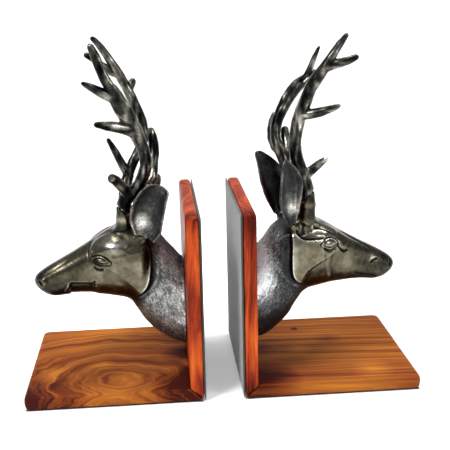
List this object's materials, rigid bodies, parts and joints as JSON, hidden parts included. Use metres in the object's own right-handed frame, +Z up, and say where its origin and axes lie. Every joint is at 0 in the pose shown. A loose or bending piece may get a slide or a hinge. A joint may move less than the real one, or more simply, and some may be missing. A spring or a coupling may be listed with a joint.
{
  "type": "pair of stag-head bookends",
  "caption": "Pair of free-standing bookends: an L of two hardwood boards carries a dark cast-bronze stag's head with branching antlers, and a book stands between the lined uprights.",
  "frame": {"origin": "on the surface that the bookends stand on, midway between the two units, under the middle of the book space", "axes": "+X to the right along the row, across the book space; +Y to the back, as deep as the boards; +Z up"},
  "size_m": [0.3572, 0.15, 0.3176],
  "materials": {
    "bronze": "dark antique bronze patina, rubbed brighter on the high places",
    "wood": "lacquered figured hardwood",
    "felt": "short-pile black felt",
    "steel": "plain bright fasteners"
  },
  "bodies": {
    "left_bookend": {"left_base_board": "wood", "left_upright_board": "wood", "left_base_felt": "felt", "left_upright_felt": "felt", "left_head_casting": "bronze", "left_front_antler": "bronze", "left_front_antler_stud": "steel", "left_front_ear": "bronze", "left_rear_antler": "bronze", "left_rear_antler_stud": "steel", "left_rear_ear": "bronze", "left_lower_head_screw": "steel", "left_lower_head_screw_washer": "steel", "left_upper_head_screw": "steel", "left_upper_head_screw_washer": "steel", "left_corner_screw_1": "steel", "left_corner_screw_2": "steel", "left_corner_screw_3": "steel"},
    "right_bookend": {"right_base_board": "wood", "right_upright_board": "wood", "right_base_felt": "felt", "right_upright_felt": "felt", "right_head_casting": "bronze", "right_front_antler": "bronze", "right_front_antler_stud": "steel", "right_front_ear": "bronze", "right_rear_antler": "bronze", "right_rear_antler_stud": "steel", "right_rear_ear": "bronze", "right_lower_head_screw": "steel", "right_lower_head_screw_washer": "steel", "right_upper_head_screw": "steel", "right_upper_head_screw_washer": "steel", "right_corner_screw_1": "steel", "right_corner_screw_2": "steel", "right_corner_screw_3": "steel"}
  },
  "joints": [
    {"name": "book_gap_slide", "type": "slide", "parent": "left_bookend", "child": "right_bookend", "axis": [1, 0, 0], "range_m": [-0.033, 0.25]}
  ]
}
